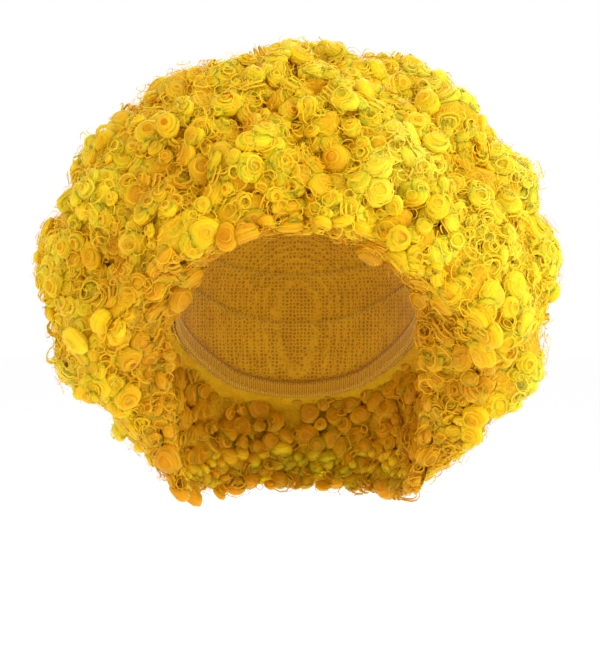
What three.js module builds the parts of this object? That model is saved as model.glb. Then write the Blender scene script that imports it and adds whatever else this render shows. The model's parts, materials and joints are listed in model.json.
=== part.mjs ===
// A curly party wig: an elastic net cap that the head goes into, a stretch band inside its rim, and rows of curly
// hair sewn one above the other round the cap. Each row is a backing strip with its locks of hair fused to it.
// Millimetres, +Z up. The wearer faces -Y and +X is at the wearer's left hand. The origin is the point inside the
// cap where it sits on the top of the head.
import * as THREE from "three";
import { mergeVertices } from "three/addons/utils/BufferGeometryUtils.js";

// The head that the cap is cut for
const headBreadth = 154;
const headLength = 194;
const crownHeight = 88; // from the widest level of the head up to its top
const neckDepth = 206; // from the top of the head down to the neck, where the hair ends
const neckTaper = 0.24; // share of the head's breadth lost between its widest level and the neck
const napeDepth = 148; // from the top of the head down to the cap's rim at the nape

// Cap and band
const netThickness = 1.2;
const bandWidth = 10;
const bandThickness = 1.6;
const sewnGap = 0.8; // between the net and what is sewn to it, inside or outside
const rowGap = 0.8; // between one row of hair and the next, on the cap at the forehead

// Mass of hair
const hairWidth = 338;
const hairDepth = 324;
const hairAboveCrown = 82;
const hairCentreDepth = 72; // the hair's widest level, below the top of the head
const hairBelowCentre = 138; // how far down from there the hair's round form would end
const hairSetBack = 13; // how far the middle of the hair lies behind the middle of the head
const stripThickness = 3;
const lockSpacing = 46; // between the middles of locks round a row, at the hair's outside
const lockGroove = 0.22; // how deep the parting between two locks goes, as a share of the hair's thickness
const lockPinch = 0.3; // how much less high a row is there, as a share of its height
const lockUnevenness = 0.08; // how much shorter the shortest lock is, as a share of the hair's thickness
const lockTilt = 0.08; // how far up or down a lock points, as a share of its row's height
const fewestLocks = 4; // in a row

// The hairline. Azimuths are in degrees from the face round to the nape, the same on both sides. The rim's depth is
// a share of napeDepth. The rows of hair above the band fan out from the crown to ringAngle, in degrees from
// straight up at the middle of the hair, and the lowest row goes on from there to hangAngle. neckHair is how far
// the lowest row lies against the head below the rim, as a share of the way to the neck.
const hairline = [
  { azimuth: 0, rimDepth: 0.27, ringAngle: 70, hangAngle: 79, neckHair: 0 },
  { azimuth: 28, rimDepth: 0.31, ringAngle: 75, hangAngle: 90, neckHair: 0.02 },
  { azimuth: 52, rimDepth: 0.44, ringAngle: 86, hangAngle: 113, neckHair: 0.1 },
  { azimuth: 72, rimDepth: 0.58, ringAngle: 96, hangAngle: 137, neckHair: 0.36 },
  { azimuth: 90, rimDepth: 0.68, ringAngle: 104, hangAngle: 153, neckHair: 0.86 },
  { azimuth: 110, rimDepth: 0.77, ringAngle: 109, hangAngle: 153, neckHair: 0.9 },
  { azimuth: 130, rimDepth: 0.87, ringAngle: 110, hangAngle: 152, neckHair: 0.9 },
  { azimuth: 150, rimDepth: 0.96, ringAngle: 111, hangAngle: 150, neckHair: 0.9 },
  { azimuth: 180, rimDepth: 1.0, ringAngle: 111, hangAngle: 149, neckHair: 0.9 },
];

// Places from the crown down go by one scale: 0 at the crown, 1 at the band's upper edge, 2 at the rim and 3 at the
// neck, where the hair ends. Each row of hair is sewn between two places, and at the hair's outside it spreads to
// spreadTo.
const bandTop = 1;
const rim = 2;
const neck = 3;
const rows = [
  { name: "hair_crown", from: 0, to: 0.13, spreadTo: 0.13 },
  { name: "hair_row_1", from: 0.13, to: 0.31, spreadTo: 0.31 },
  { name: "hair_row_2", from: 0.31, to: 0.49, spreadTo: 0.49 },
  { name: "hair_row_3", from: 0.49, to: 0.66, spreadTo: 0.66 },
  { name: "hair_row_4", from: 0.66, to: 0.83, spreadTo: 0.83 },
  { name: "hair_row_5", from: 0.83, to: bandTop, spreadTo: bandTop },
  { name: "hair_hanging_row", from: bandTop, to: rim, spreadTo: neck },
];

// The form of a row of hair, cut through the middle of a lock, from the inside of its strip down round its
// underside and back over its top. down goes from its upper side to its lower side, out from the cap to the hair's
// outside, strip counts the strip's thickness, and lobed says how much the partings between locks change it.
const crownForm = [
  { down: 0, out: 0, strip: 0, lobed: 0 },
  { down: 0.5, out: 0, strip: 0, lobed: 0 },
  { down: 1, out: 0, strip: 0, lobed: 0 },
  { down: 1, out: 0, strip: 1, lobed: 0 },
  { down: 0.95, out: 0.8, strip: 0, lobed: 1 },
  { down: 0.6, out: 0.97, strip: 0, lobed: 1 },
  { down: 0, out: 0.96, strip: 0, lobed: 0 },
];
const rowForm = [
  { down: 0, out: 0, strip: 0, lobed: 0 },
  { down: 0.5, out: 0, strip: 0, lobed: 0 },
  { down: 1, out: 0, strip: 0, lobed: 0 },
  { down: 1, out: 0, strip: 1, lobed: 0 },
  { down: 0.98, out: 0.8, strip: 0, lobed: 1 },
  { down: 0.78, out: 0.96, strip: 0, lobed: 1 },
  { down: 0.5, out: 1, strip: 0, lobed: 1 },
  { down: 0.22, out: 0.96, strip: 0, lobed: 1 },
  { down: 0.02, out: 0.8, strip: 0, lobed: 1 },
  { down: 0, out: 0, strip: 1, lobed: 0 },
];
const hangingForm = [
  { down: 0, out: 0, strip: 0, lobed: 0 },
  { down: 0.5, out: 0, strip: 0, lobed: 0 },
  { down: 1, out: 0, strip: 0, lobed: 0 },
  { down: 1, out: 0.5, strip: 0, lobed: 0.3 },
  { down: 0.95, out: 0.84, strip: 0, lobed: 1 },
  { down: 0.7, out: 0.95, strip: 0, lobed: 1 },
  { down: 0.5, out: 0.87, strip: 0, lobed: 0.6 },
  { down: 0.34, out: 0.98, strip: 0, lobed: 1 },
  { down: 0.12, out: 0.95, strip: 0, lobed: 1 },
  { down: 0.01, out: 0.8, strip: 0, lobed: 1 },
  { down: 0, out: 0, strip: 1, lobed: 0 },
];

// Where the faces of a lock meet, from one parting to the next, and how much of the parting each place has
const lockFolds = [
  { turn: 0, parting: 1 },
  { turn: 0.2, parting: 0.3 },
  { turn: 0.5, parting: 0 },
  { turn: 0.8, parting: 0.3 },
];

// How finely the cap and the band are cut into flat faces
const azimuthSteps = 40;
const arcSteps = 12;

const degree = Math.PI / 180;

// Joins the corners that coincide, and drops the faces that this leaves without area
function mergedGeometry(geometry) {
  const bare = new THREE.BufferGeometry();
  bare.setAttribute("position", geometry.getAttribute("position"));
  bare.setIndex(geometry.index);
  const merged = mergeVertices(bare, 1e-3);
  const corners = merged.index.array;
  const kept = [];
  for (let i = 0; i < corners.length; i += 3) {
    const [a, b, c] = corners.subarray(i, i + 3);
    if (a !== b && b !== c && c !== a) kept.push(a, b, c);
  }
  merged.setIndex(kept);
  merged.computeVertexNormals();
  return merged;
}

// A repeatable number from -1 to 1, for one lock to differ from the next
function chance(index, kind) {
  const mixed = Math.sin(index * 12.9898 + kind * 78.233) * 43758.5453;
  return 2 * (mixed - Math.floor(mixed)) - 1;
}

// How steeply a column of the hairline table runs at an entry, level at the face and at the nape
function hairlineSlope(index, column) {
  if (index === 0 || index === hairline.length - 1) return 0;
  const before = hairline[index - 1];
  const after = hairline[index + 1];
  return (after[column] - before[column]) / (after.azimuth - before.azimuth);
}

// A column of the hairline table at any azimuth in radians, on a smooth curve through its entries
function hairlineAt(azimuth, column) {
  const turned = Math.abs(Math.atan2(Math.sin(azimuth), Math.cos(azimuth))) / degree;
  const next = Math.max(1, hairline.findIndex((entry) => entry.azimuth >= turned - 1e-6));
  const before = hairline[next - 1];
  const after = hairline[next];
  const span = after.azimuth - before.azimuth;
  const share = (turned - before.azimuth) / span;
  const rest = 1 - share;
  return (
    rest ** 2 * (1 + 2 * share) * before[column] +
    share ** 2 * (1 + 2 * rest) * after[column] +
    share * rest * span * (rest * hairlineSlope(next - 1, column) - share * hairlineSlope(next, column))
  );
}

// The head's surface. turn is 0 at the top of the head, a right angle at its widest level and more below it.
function headSurface(azimuth, turn) {
  const upper = Math.min(turn, Math.PI / 2);
  const lower = Math.max(turn - Math.PI / 2, 0);
  const spread = Math.sin(upper) - neckTaper * (1 - Math.cos(lower));
  const depth = crownHeight * (1 - Math.cos(upper)) + (neckDepth - crownHeight) * Math.sin(lower);
  return new THREE.Vector3(
    (headBreadth / 2) * spread * Math.sin(azimuth),
    -(headLength / 2) * spread * Math.cos(azimuth),
    -depth,
  );
}

// The place at a distance off the head, square to its surface
function offHead(azimuth, turn, lift) {
  const nudge = 1e-3;
  const outward = new THREE.Vector3(0, 0, 1);
  if (turn > nudge) {
    const down = headSurface(azimuth, turn + nudge).sub(headSurface(azimuth, turn - nudge));
    const round = headSurface(azimuth + nudge, turn).sub(headSurface(azimuth - nudge, turn));
    outward.crossVectors(down, round).normalize();
  }
  return headSurface(azimuth, turn).addScaledVector(outward, lift);
}

// How far the head's surface has turned at the rim
function rimTurn(azimuth) {
  const rimDepth = hairlineAt(azimuth, "rimDepth") * napeDepth;
  const belowWidest = (rimDepth - crownHeight) / (neckDepth - crownHeight);
  return belowWidest < 0 ? Math.acos(1 - rimDepth / crownHeight) : Math.PI / 2 + Math.asin(belowWidest);
}

// How far it is over the cap from the crown to the rim
function arcToRim(azimuth) {
  const step = rimTurn(azimuth) / arcSteps;
  let arc = 0;
  for (let i = 1; i <= arcSteps; i++) {
    arc += headSurface(azimuth, i * step).distanceTo(headSurface(azimuth, (i - 1) * step));
  }
  return arc;
}

// A place on the cap, or on the head below it, at a height off the head
function onCap(azimuth, place, lift) {
  const turnAtRim = rimTurn(azimuth);
  const turnAtBand = turnAtRim * (1 - bandWidth / arcToRim(azimuth));
  if (place <= bandTop) return offHead(azimuth, turnAtBand * place, lift);
  if (place <= rim) return offHead(azimuth, THREE.MathUtils.lerp(turnAtBand, turnAtRim, place - bandTop), lift);
  return offHead(azimuth, THREE.MathUtils.lerp(turnAtRim, Math.PI, place - rim), lift);
}

// The same place at the hair's outside
function hairOutside(azimuth, place) {
  const ring = hairlineAt(azimuth, "ringAngle");
  const hang = hairlineAt(azimuth, "hangAngle");
  const below = (place - bandTop) / (neck - bandTop);
  const angle = degree * (below < 0 ? place * ring : THREE.MathUtils.lerp(ring, hang, below));
  const halfHeight = Math.cos(angle) > 0 ? hairCentreDepth + hairAboveCrown : hairBelowCentre;
  return new THREE.Vector3(
    (hairWidth / 2) * Math.sin(angle) * Math.sin(azimuth),
    hairSetBack - (hairDepth / 2) * Math.sin(angle) * Math.cos(azimuth),
    halfHeight * Math.cos(angle) - hairCentreDepth,
  );
}

// A point in a row of hair: down goes from its upper side at 0 to its lower side at 1, and out from the cap at 0 to
// the hair's outside at 1. Below the rim, hair lies close to the neck only where the hairline table says so.
function inRow(azimuth, row, down, out, strip) {
  const gap = row.to === rim ? 0 : rowGap / arcToRim(0);
  const neckHair = row.to === rim ? hairlineAt(azimuth, "neckHair") : 0;
  const place = THREE.MathUtils.lerp(row.from, row.to + neckHair - gap, down);
  const spreadPlace = THREE.MathUtils.lerp(row.from, row.spreadTo - gap, down);
  const onNet = onCap(azimuth, place, netThickness + sewnGap);
  const outside = hairOutside(azimuth, spreadPlace);
  const stripShare = (strip * stripThickness) / onNet.distanceTo(outside);
  return onNet.lerp(outside, out + stripShare);
}

// A lathe bent into place: the profile numbers its own stops from 1 up, and toPlace turns the angle round the lathe
// and the number of a stop into a real point. A profile that ends off the axis closes on its first stop.
function bentLathe(stops, sides, toPlace, opensOnAxis) {
  const numbers = Array.from({ length: stops }, (_, i) => i + 1);
  const profile = (opensOnAxis ? numbers : [...numbers, 1]).map((number) => new THREE.Vector2(number, 0));
  const lathe = new THREE.LatheGeometry(profile, sides);
  const position = lathe.getAttribute("position");
  for (let i = 0; i < position.count; i++) {
    const x = position.getX(i);
    const z = position.getZ(i);
    const turn = (Math.atan2(x, z) / (2 * Math.PI) + 1) % 1;
    const placed = toPlace(turn, Math.round(Math.hypot(x, z)) - 1);
    position.setXYZ(i, placed.x, placed.y, placed.z);
  }
  return mergedGeometry(lathe);
}

// A thin shell between two lifts off the head, through a list of places. One from the crown has no hole.
function shell(places, inner, outer) {
  const innerSide = places.map((place) => ({ place, lift: inner }));
  const outerSide = places.map((place) => ({ place, lift: outer })).reverse();
  const stops = [...innerSide, ...outerSide];
  const toPlace = (turn, stop) => onCap(2 * Math.PI * turn, stops[stop].place, stops[stop].lift);
  return bentLathe(stops.length, azimuthSteps, toPlace, places[0] === 0);
}

// The net cap is a thin dome, open below, with a stop at each row's edge and middle
function netCap() {
  const places = rows.flatMap((row) => [row.from, (row.from + row.to) / 2]);
  return shell([...places, rim], 0, netThickness);
}

// The stretch band lies inside the cap's rim
function rimBand() {
  return shell([bandTop, (bandTop + rim) / 2, rim], -sewnGap - bandThickness, -sewnGap);
}

// The form that a row has. The crown's is round the axis, with no upper side.
function formOf(row) {
  if (row.from === 0) return { form: crownForm, middle: 0, tilts: 0 };
  return { form: row.to === rim ? hangingForm : rowForm, middle: 0.5, tilts: lockTilt };
}

// A row of hair: its strip lies on the net, and its locks stand out from it side by side, parted by grooves. Each
// lock has its own length, and points a little up or down.
function hairRow(row, rowNumber) {
  const { form, middle, tilts } = formOf(row);
  const girth = 2 * Math.PI * hairOutside(Math.PI / 2, (row.from + row.to) / 2).x;
  const lockCount = Math.max(fewestLocks, Math.round(girth / lockSpacing));
  const foldCount = lockCount * lockFolds.length;
  const toPlace = (turn, stop) => {
    const fold = Math.round(turn * foldCount) % foldCount;
    const lockNumber = Math.floor(fold / lockFolds.length);
    const { turn: share, parting } = lockFolds[fold % lockFolds.length];
    const azimuth = (2 * Math.PI * (lockNumber + share + (rowNumber % 2) / 2)) / lockCount;
    const { down, out, strip, lobed } = form[stop];
    const inLock = lobed * (1 - parting);
    const tilt = inLock * tilts * chance(lockNumber, rowNumber) * (1 - 2 * Math.abs(down - middle));
    const shorter = (inLock * lockUnevenness * (1 + chance(lockNumber, rowNumber + 0.5))) / 2;
    const pinched = middle + (down - middle) * (1 - lockPinch * parting * lobed);
    return inRow(azimuth, row, pinched + tilt, out * (1 - lockGroove * parting * lobed - shorter), strip);
  };
  return bentLathe(form.length, foldCount, toPlace, row.from === 0);
}

// The pieces, each with its own material
const netMaterial = new THREE.MeshStandardMaterial({ color: "#d9a514", roughness: 0.9, metalness: 0 });
const bandMaterial = new THREE.MeshStandardMaterial({ color: "#c99a1c", roughness: 0.8, metalness: 0 });
const hairMaterial = new THREE.MeshStandardMaterial({ color: "#e3b60a", roughness: 0.5, metalness: 0 });

function piece(name, geometry, material) {
  const mesh = new THREE.Mesh(geometry, material);
  mesh.name = name;
  return mesh;
}

const wig = new THREE.Group();
wig.add(piece("net_cap", netCap(), netMaterial));
wig.add(piece("rim_band", rimBand(), bandMaterial));
rows.forEach((row, rowNumber) => wig.add(piece(row.name, hairRow(row, rowNumber), hairMaterial)));

export default wig;
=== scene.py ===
# Curly party wig: an elastic net cap, the stretch band in its rim and rows of curly hair, on the packed
# frame. Metres, +Z up. The wearer faces -Y and +X is at the wearer's left hand.
import json
import bpy
import mathutils
import numpy as np
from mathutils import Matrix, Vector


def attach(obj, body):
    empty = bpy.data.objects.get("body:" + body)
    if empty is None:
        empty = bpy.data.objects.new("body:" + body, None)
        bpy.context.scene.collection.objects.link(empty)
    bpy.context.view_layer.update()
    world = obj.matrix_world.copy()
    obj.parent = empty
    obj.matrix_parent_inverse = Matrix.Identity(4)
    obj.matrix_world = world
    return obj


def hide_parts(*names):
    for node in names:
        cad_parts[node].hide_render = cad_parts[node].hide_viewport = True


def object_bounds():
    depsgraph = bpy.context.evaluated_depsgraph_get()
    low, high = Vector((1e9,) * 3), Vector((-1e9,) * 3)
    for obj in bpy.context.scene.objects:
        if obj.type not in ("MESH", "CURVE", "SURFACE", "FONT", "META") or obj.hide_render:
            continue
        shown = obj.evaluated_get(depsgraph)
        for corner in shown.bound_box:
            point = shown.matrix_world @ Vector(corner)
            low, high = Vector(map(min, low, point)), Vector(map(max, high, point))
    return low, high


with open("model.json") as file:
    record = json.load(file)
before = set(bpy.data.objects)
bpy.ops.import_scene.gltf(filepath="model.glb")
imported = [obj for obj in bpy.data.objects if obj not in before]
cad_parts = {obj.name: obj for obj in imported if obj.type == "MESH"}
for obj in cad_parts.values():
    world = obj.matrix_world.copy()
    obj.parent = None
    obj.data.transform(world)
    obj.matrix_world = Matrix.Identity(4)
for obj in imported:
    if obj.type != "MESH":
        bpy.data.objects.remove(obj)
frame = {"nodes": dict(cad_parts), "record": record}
cadLow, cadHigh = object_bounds()
record = frame["record"]
print("frame loaded:", len(frame["nodes"]), "nodes,", record["type"])

mm = 0.001
halfTurn = np.pi
fullTurn = 2 * np.pi


# The head and the mass of hair

headForm = {
    "breadth": 154 * mm,
    "length": 194 * mm,
    "crownHeight": 88 * mm,  # from the widest level up to the top
    "neckDepth": 206 * mm,
    "neckTaper": 0.24,  # share of the breadth lost down to the neck
    "napeDepth": 148 * mm,  # the cap's rim at the nape
    "arcSteps": 12,
}

hairForm = {
    "width": 338 * mm,
    "depth": 324 * mm,
    "aboveCrown": 82 * mm,
    "centreDepth": 72 * mm,
    "belowCentre": 138 * mm,
    "setBack": 13 * mm,
    "lockSpacing": 46 * mm,
    "groove": 0.22,  # how deep a parting goes, as a share of the hair's thickness
    "partingPower": 5,  # the higher, the narrower a parting
    "shortest": 0.08,  # how much shorter the shortest lock is
    "lumpSize": 62 * mm,
    "lumpHeight": 4.5 * mm,
    "dents": [
        # place, width and depth of where the hair is pressed in
        ((-128 * mm, 0, 10 * mm), 45 * mm, 10 * mm),
        ((-165 * mm, 0, -60 * mm), 40 * mm, 4 * mm),
        ((-106 * mm, 0, -170 * mm), 40 * mm, 9 * mm),
        ((150 * mm, 0, -16 * mm), 26 * mm, 8 * mm),
        ((106 * mm, 0, 41 * mm), 34 * mm, 8 * mm),
        ((0, 0, 78 * mm), 26 * mm, 5 * mm),
    ],
    "paintedLightAndShade": [
        # place, width and strength of painted light, where the hair is paler, or of painted shade, below 0
        ((-88 * mm, -110 * mm, -35 * mm), 62 * mm, -2.2),
        ((-30 * mm, -120 * mm, 0), 50 * mm, -1.2),
        ((140 * mm, -50 * mm, -50 * mm), 75 * mm, 1.8),
        ((70 * mm, -60 * mm, 60 * mm), 60 * mm, 1.0),
    ],
}

# Azimuth from the face round, the rim's depth as a share of napeDepth, the angles of the band's row and of
# the hair's end from straight up, and how far down the neck the hair lies
hairline = np.array([
    (0, 0.27, 70, 79, 0),
    (28, 0.31, 75, 90, 0.02),
    (52, 0.44, 86, 113, 0.1),
    (72, 0.58, 96, 137, 0.36),
    (90, 0.68, 104, 153, 0.86),
    (110, 0.77, 109, 153, 0.9),
    (130, 0.87, 110, 152, 0.9),
    (150, 0.96, 111, 150, 0.9),
    (180, 1.0, 111, 149, 0.9),
])
hairlineColumns = {"rimDepth": 1, "ringAngle": 2, "hangAngle": 3, "neckHair": 4}


# Unit vectors along the last axis
def unit(vectors):
    return vectors / np.maximum(np.linalg.norm(vectors, axis=-1, keepdims=True), 1e-12)


# A cubic curve through a column of the hairline table, level at the face and at the nape
def hairlineAt(azimuth, column):
    stops, values = hairline[:, 0], hairline[:, hairlineColumns[column]]
    slopes = np.zeros(len(stops))
    slopes[1:-1] = (values[2:] - values[:-2]) / (stops[2:] - stops[:-2])
    turned = np.degrees(np.abs(np.arctan2(np.sin(azimuth), np.cos(azimuth))))
    after = np.clip(np.searchsorted(stops, turned - 1e-6), 1, len(stops) - 1)
    before = after - 1
    span = stops[after] - stops[before]
    share = (turned - stops[before]) / span
    rest = 1 - share
    hump = share * rest * span * (rest * slopes[before] - share * slopes[after])
    return rest**2 * (1 + 2 * share) * values[before] + share**2 * (1 + 2 * rest) * values[after] + hump


# Half an ellipse above the head's widest level and another, longer one below it, by the angle turned from the
# top
def headSurface(azimuth, turn):
    upper = np.minimum(turn, halfTurn / 2)
    lower = np.maximum(turn - halfTurn / 2, 0)
    spread = np.sin(upper) - headForm["neckTaper"] * (1 - np.cos(lower))
    below = headForm["neckDepth"] - headForm["crownHeight"]
    depth = headForm["crownHeight"] * (1 - np.cos(upper)) + below * np.sin(lower)
    x = headForm["breadth"] / 2 * spread * np.sin(azimuth)
    y = -headForm["length"] / 2 * spread * np.cos(azimuth)
    return np.stack(np.broadcast_arrays(x, y, -depth), -1)


# The head's surface, and a lift along the cross product of its two slopes
def offHead(azimuth, turn, lift):
    nudge = 1e-3
    safeTurn = np.maximum(turn, 2 * nudge)
    down = headSurface(azimuth, safeTurn + nudge) - headSurface(azimuth, safeTurn - nudge)
    around = headSurface(azimuth + nudge, safeTurn) - headSurface(azimuth - nudge, safeTurn)
    return headSurface(azimuth, turn) + unit(np.cross(down, around)) * np.asarray(lift)[..., None]


# The angle at which the head's surface has the rim's depth
def rimTurn(azimuth):
    crown = headForm["crownHeight"]
    depth = hairlineAt(azimuth, "rimDepth") * headForm["napeDepth"]
    below = (depth - crown) / (headForm["neckDepth"] - crown)
    upper = np.arccos(np.clip(1 - depth / crown, -1, 1))
    return np.where(below < 0, upper, halfTurn / 2 + np.arcsin(np.clip(below, 0, 1)))


# The sum of straight steps over the head from the crown to the rim
def arcToRim(azimuth):
    shares = np.linspace(0, 1, headForm["arcSteps"] + 1)
    azimuth = np.asarray(azimuth, float)[..., None]
    path = headSurface(azimuth, rimTurn(azimuth) * shares)
    return np.linalg.norm(np.diff(path, axis=-2), axis=-1).sum(-1)


# Places go from the crown at 0 to the band's upper edge at 1, the rim at 2 and the neck at 3
bandTop, rim, neck = 1, 2, 3
bandWidth = 10 * mm


# Even shares of the turn within each of those stretches
def onCap(azimuth, place, lift):
    atRim = rimTurn(azimuth)
    atBand = atRim * (1 - bandWidth / arcToRim(azimuth))
    inBand = atBand + (atRim - atBand) * np.clip(place - bandTop, 0, 1)
    turn = np.where(place <= bandTop, atBand * place, inBand)
    turn = np.where(place > rim, atRim + (halfTurn - atRim) * (place - rim), turn)
    return offHead(azimuth, turn, lift)


# Half an ellipsoid above the middle of the hair and a flatter half below it, by the hairline table's angles
def hairOutside(azimuth, place):
    ring, hang = hairlineAt(azimuth, "ringAngle"), hairlineAt(azimuth, "hangAngle")
    below = (place - bandTop) / (neck - bandTop)
    angle = np.radians(np.where(below < 0, place * ring, ring + (hang - ring) * below))
    x = hairForm["width"] / 2 * np.sin(angle) * np.sin(azimuth)
    y = hairForm["setBack"] - hairForm["depth"] / 2 * np.sin(angle) * np.cos(azimuth)
    upper = hairForm["centreDepth"] + hairForm["aboveCrown"]
    z = np.where(np.cos(angle) > 0, upper, hairForm["belowCentre"]) * np.cos(angle) - hairForm["centreDepth"]
    return np.stack(np.broadcast_arrays(x, y, z), -1)


# The share of the head's breadth at a depth below its top
def headSpread(depth):
    crown = headForm["crownHeight"]
    upper = np.sqrt(np.clip(1 - np.clip(1 - depth / crown, -1, 1) ** 2, 0, 1))
    sine = np.clip((depth - crown) / (headForm["neckDepth"] - crown), 0, 1)
    return np.where(depth < crown, upper, 1 - headForm["neckTaper"] * (1 - np.sqrt(1 - sine**2)))


leastSpread, leastReach = 0.05, 0.2  # keep what is on the head's axis from going out too far
underCrown = -8 * mm  # the level from which hair is kept off the head


# Points too near the head go straight out from its axis to a least distance off it
def clearOfHead(points, distance):
    breadth, length = headForm["breadth"] / 2, headForm["length"] / 2
    spread = np.maximum(headSpread(np.clip(-points[..., 2], 0, None)), leastSpread)
    reach = np.hypot(points[..., 0] / breadth, points[..., 1] / length) / spread
    least = 1 + distance / (breadth * spread)
    inside = (reach < least) & (points[..., 2] < underCrown)
    factor = np.where(inside, least / np.maximum(reach, leastReach), 1)
    return points * np.stack([factor, factor, np.ones_like(factor)], -1)


scatter = (12.9898, 78.233, 43758.5453)  # unrelated steps along a sine, and how far its values are thrown apart


# Repeatable numbers from -1 to 1 for one lock and another
def chance(index, kind):
    mixed = np.sin(index * scatter[0] + kind * scatter[1]) * scatter[2]
    return 2 * (mixed - np.floor(mixed)) - 1


# The mean of plane sine waves in random directions, each about as long as size
def waves(points, size, seed, count=9):
    draw = np.random.default_rng(seed)
    directions = unit(draw.normal(size=(count, 3)))
    lengths = size * draw.uniform(0.7, 1.5, count)
    phases = draw.uniform(0, fullTurn, count)
    angles = points @ (directions * fullTurn / lengths[:, None]).T + phases
    return np.sin(angles).sum(-1) / np.sqrt(count / 2)


bellStretch = (1, 0.6, 1)  # dents and the patches of painted light and shade are longer from front to back


# The sum at a point of a bell curve of its distance from each place: how far the hair is pressed in there, or how
# much painted light or painted shade it has
def bells(points, places):
    total = np.zeros(points.shape[:-1])
    for place, width, most in places:
        away = (points - np.array(place)) * bellStretch
        total = total + most * np.exp(-((away**2).sum(-1)) / width**2)
    return total


# The rows of hair

rows = [
    {"node": "hair_crown", "from": 0, "to": 0.13, "spreadTo": 0.13, "knots": 72, "around": 60},
    {"node": "hair_row_1", "from": 0.13, "to": 0.31, "spreadTo": 0.31, "knots": 238, "around": 120},
    {"node": "hair_row_2", "from": 0.31, "to": 0.49, "spreadTo": 0.49, "knots": 385, "around": 170},
    {"node": "hair_row_3", "from": 0.49, "to": 0.66, "spreadTo": 0.66, "knots": 460, "around": 200},
    {"node": "hair_row_4", "from": 0.66, "to": 0.83, "spreadTo": 0.83, "knots": 508, "around": 220},
    {"node": "hair_row_5", "from": 0.83, "to": bandTop, "spreadTo": bandTop, "knots": 520, "around": 220},
    {"node": "hair_hanging_row", "from": bandTop, "to": rim, "spreadTo": neck, "knots": 655, "around": 240},
]
liftOfHair = 2 * mm  # the net's thickness and the gap to what is sewn on it
curlRoots = 0.94  # where the outer curls stand in the hair, so that they end at its outside
neckSide = 0.1  # and where the inner ones stand against the neck
innerRise = 0.7  # how far up the row the inner ones go
curlGroove = 0.6  # how far curls follow the partings


# The number of locks in a row, from the girth of its middle
def locksIn(row):
    middle = hairOutside(np.array(halfTurn / 2), np.array((row["from"] + row["to"]) / 2))
    return max(4, round(fullTurn * float(middle[0]) / hairForm["lockSpacing"]))


# A point in a row's mass. down goes from its upper side at 0 to its lower side at 1, out from the cap to the
# outside. Partings cut in between locks by a high power of a cosine, and each lock has its own length.
def inRow(row, azimuth, down, out, groove=1.0):
    number = rows.index(row)
    count = locksIn(row)
    position = azimuth / fullTurn * count - (number % 2) / 2
    lock = np.floor(position) % count
    parting = np.abs(np.cos(halfTurn * (position - np.floor(position)))) ** hairForm["partingPower"]
    shorter = hairForm["shortest"] * (0.5 + 0.5 * chance(lock, number + 0.5)) * (1 - parting)
    hanging = row["to"] == rim
    reach = hairlineAt(azimuth, "neckHair") if hanging else 0
    place = row["from"] + (row["to"] + reach - row["from"]) * down
    spreadPlace = row["from"] + (row["spreadTo"] - row["from"]) * down
    onNet = onCap(azimuth, place, np.full(np.shape(azimuth), liftOfHair))
    outside = hairOutside(azimuth, spreadPlace)
    outward = np.clip(out, 0, 1) * (1 - groove * (hairForm["groove"] * parting + shorter))
    point = onNet + (outside - onNet) * outward[..., None]
    swell = waves(point, hairForm["lumpSize"], 5) * hairForm["lumpHeight"] - bells(point, hairForm["dents"])
    swell = swell * np.clip(out, 0, 1) ** 2
    return point + unit(outside - onNet) * swell[..., None]


# The row's exposed side: its outside while along goes from 0 to 1, and for the hanging row its underside from
# there to 2, back to the cap, and its inner side up the neck from there to 3
def exposedPoint(row, azimuth, along):
    down = np.where(along > 2, 1 - innerRise * (along - 2), np.clip(along, 0, 1))
    out = np.where(along > 2, neckSide, curlRoots - (curlRoots - neckSide) * np.clip(along - 1, 0, 1))
    return inRow(row, azimuth, down, out, groove=curlGroove)


# The cross product of the exposed side's two slopes, down and round the head
def exposedCross(row, azimuth, along, step):
    around = exposedPoint(row, azimuth + step, along) - exposedPoint(row, azimuth - step, along)
    down = exposedPoint(row, azimuth, along + step) - exposedPoint(row, azimuth, along - step)
    return np.cross(down, around)


evenCells = (144, 16)  # round the head and down each side of a row
evenSteps = (0.7548776662, 0.5698402910)  # powers of the plastic ratio, which fill a plane evenly
innerHair = {"least": 0.3, "density": 0.5}  # where the inner side has hair at all, by neckHair, and how much of it


# Places spread evenly over the exposed side: a low-discrepancy sequence through the running sums of its
# cells' areas
def evenPlaces(row, count, alongFrom, alongTo, seed):
    aroundCells, alongCells = evenCells[0], round(evenCells[1] * (alongTo - alongFrom))
    azimuth = (np.arange(aroundCells) + 0.5) / aroundCells * fullTurn
    along = alongFrom + (np.arange(alongCells) + 0.5) / alongCells * (alongTo - alongFrom)
    az, al = np.meshgrid(azimuth, along, indexing="ij")
    area = np.linalg.norm(exposedCross(row, az, al, 1e-3), axis=-1)
    if alongTo > 1:
        hasHair = hairlineAt(az, "neckHair") > innerHair["least"]
        area = area * np.where(al > 2, np.where(hasHair, innerHair["density"], 0), 1)
    draw = np.random.default_rng(seed)
    numbers = np.arange(count)
    first = (draw.uniform() + numbers * evenSteps[0]) % 1
    second = (draw.uniform() + numbers * evenSteps[1]) % 1
    byAround = np.concatenate([[0], np.cumsum(area.sum(1))])
    column = np.interp(first, byAround / byAround[-1], np.arange(aroundCells + 1))
    cell = np.clip(column.astype(int), 0, aroundCells - 1)
    sums = np.concatenate([np.zeros((aroundCells, 1)), np.cumsum(area, 1)], 1)
    sums = sums / sums[:, -1:]
    found = np.clip((sums[cell] <= second[:, None]).sum(1) - 1, 0, alongCells - 1)
    low, high = sums[cell, found], sums[cell, found + 1]
    part = (second - low) / np.maximum(high - low, 1e-9)
    return column / aroundCells * fullTurn, alongFrom + (found + part) / alongCells * (alongTo - alongFrom)


# Meshes from arrays

# Two directions square to each axis
def sideways(axes, draw):
    first = unit(np.cross(axes, draw.normal(size=axes.shape)))
    return first, np.cross(axes, first)


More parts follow.
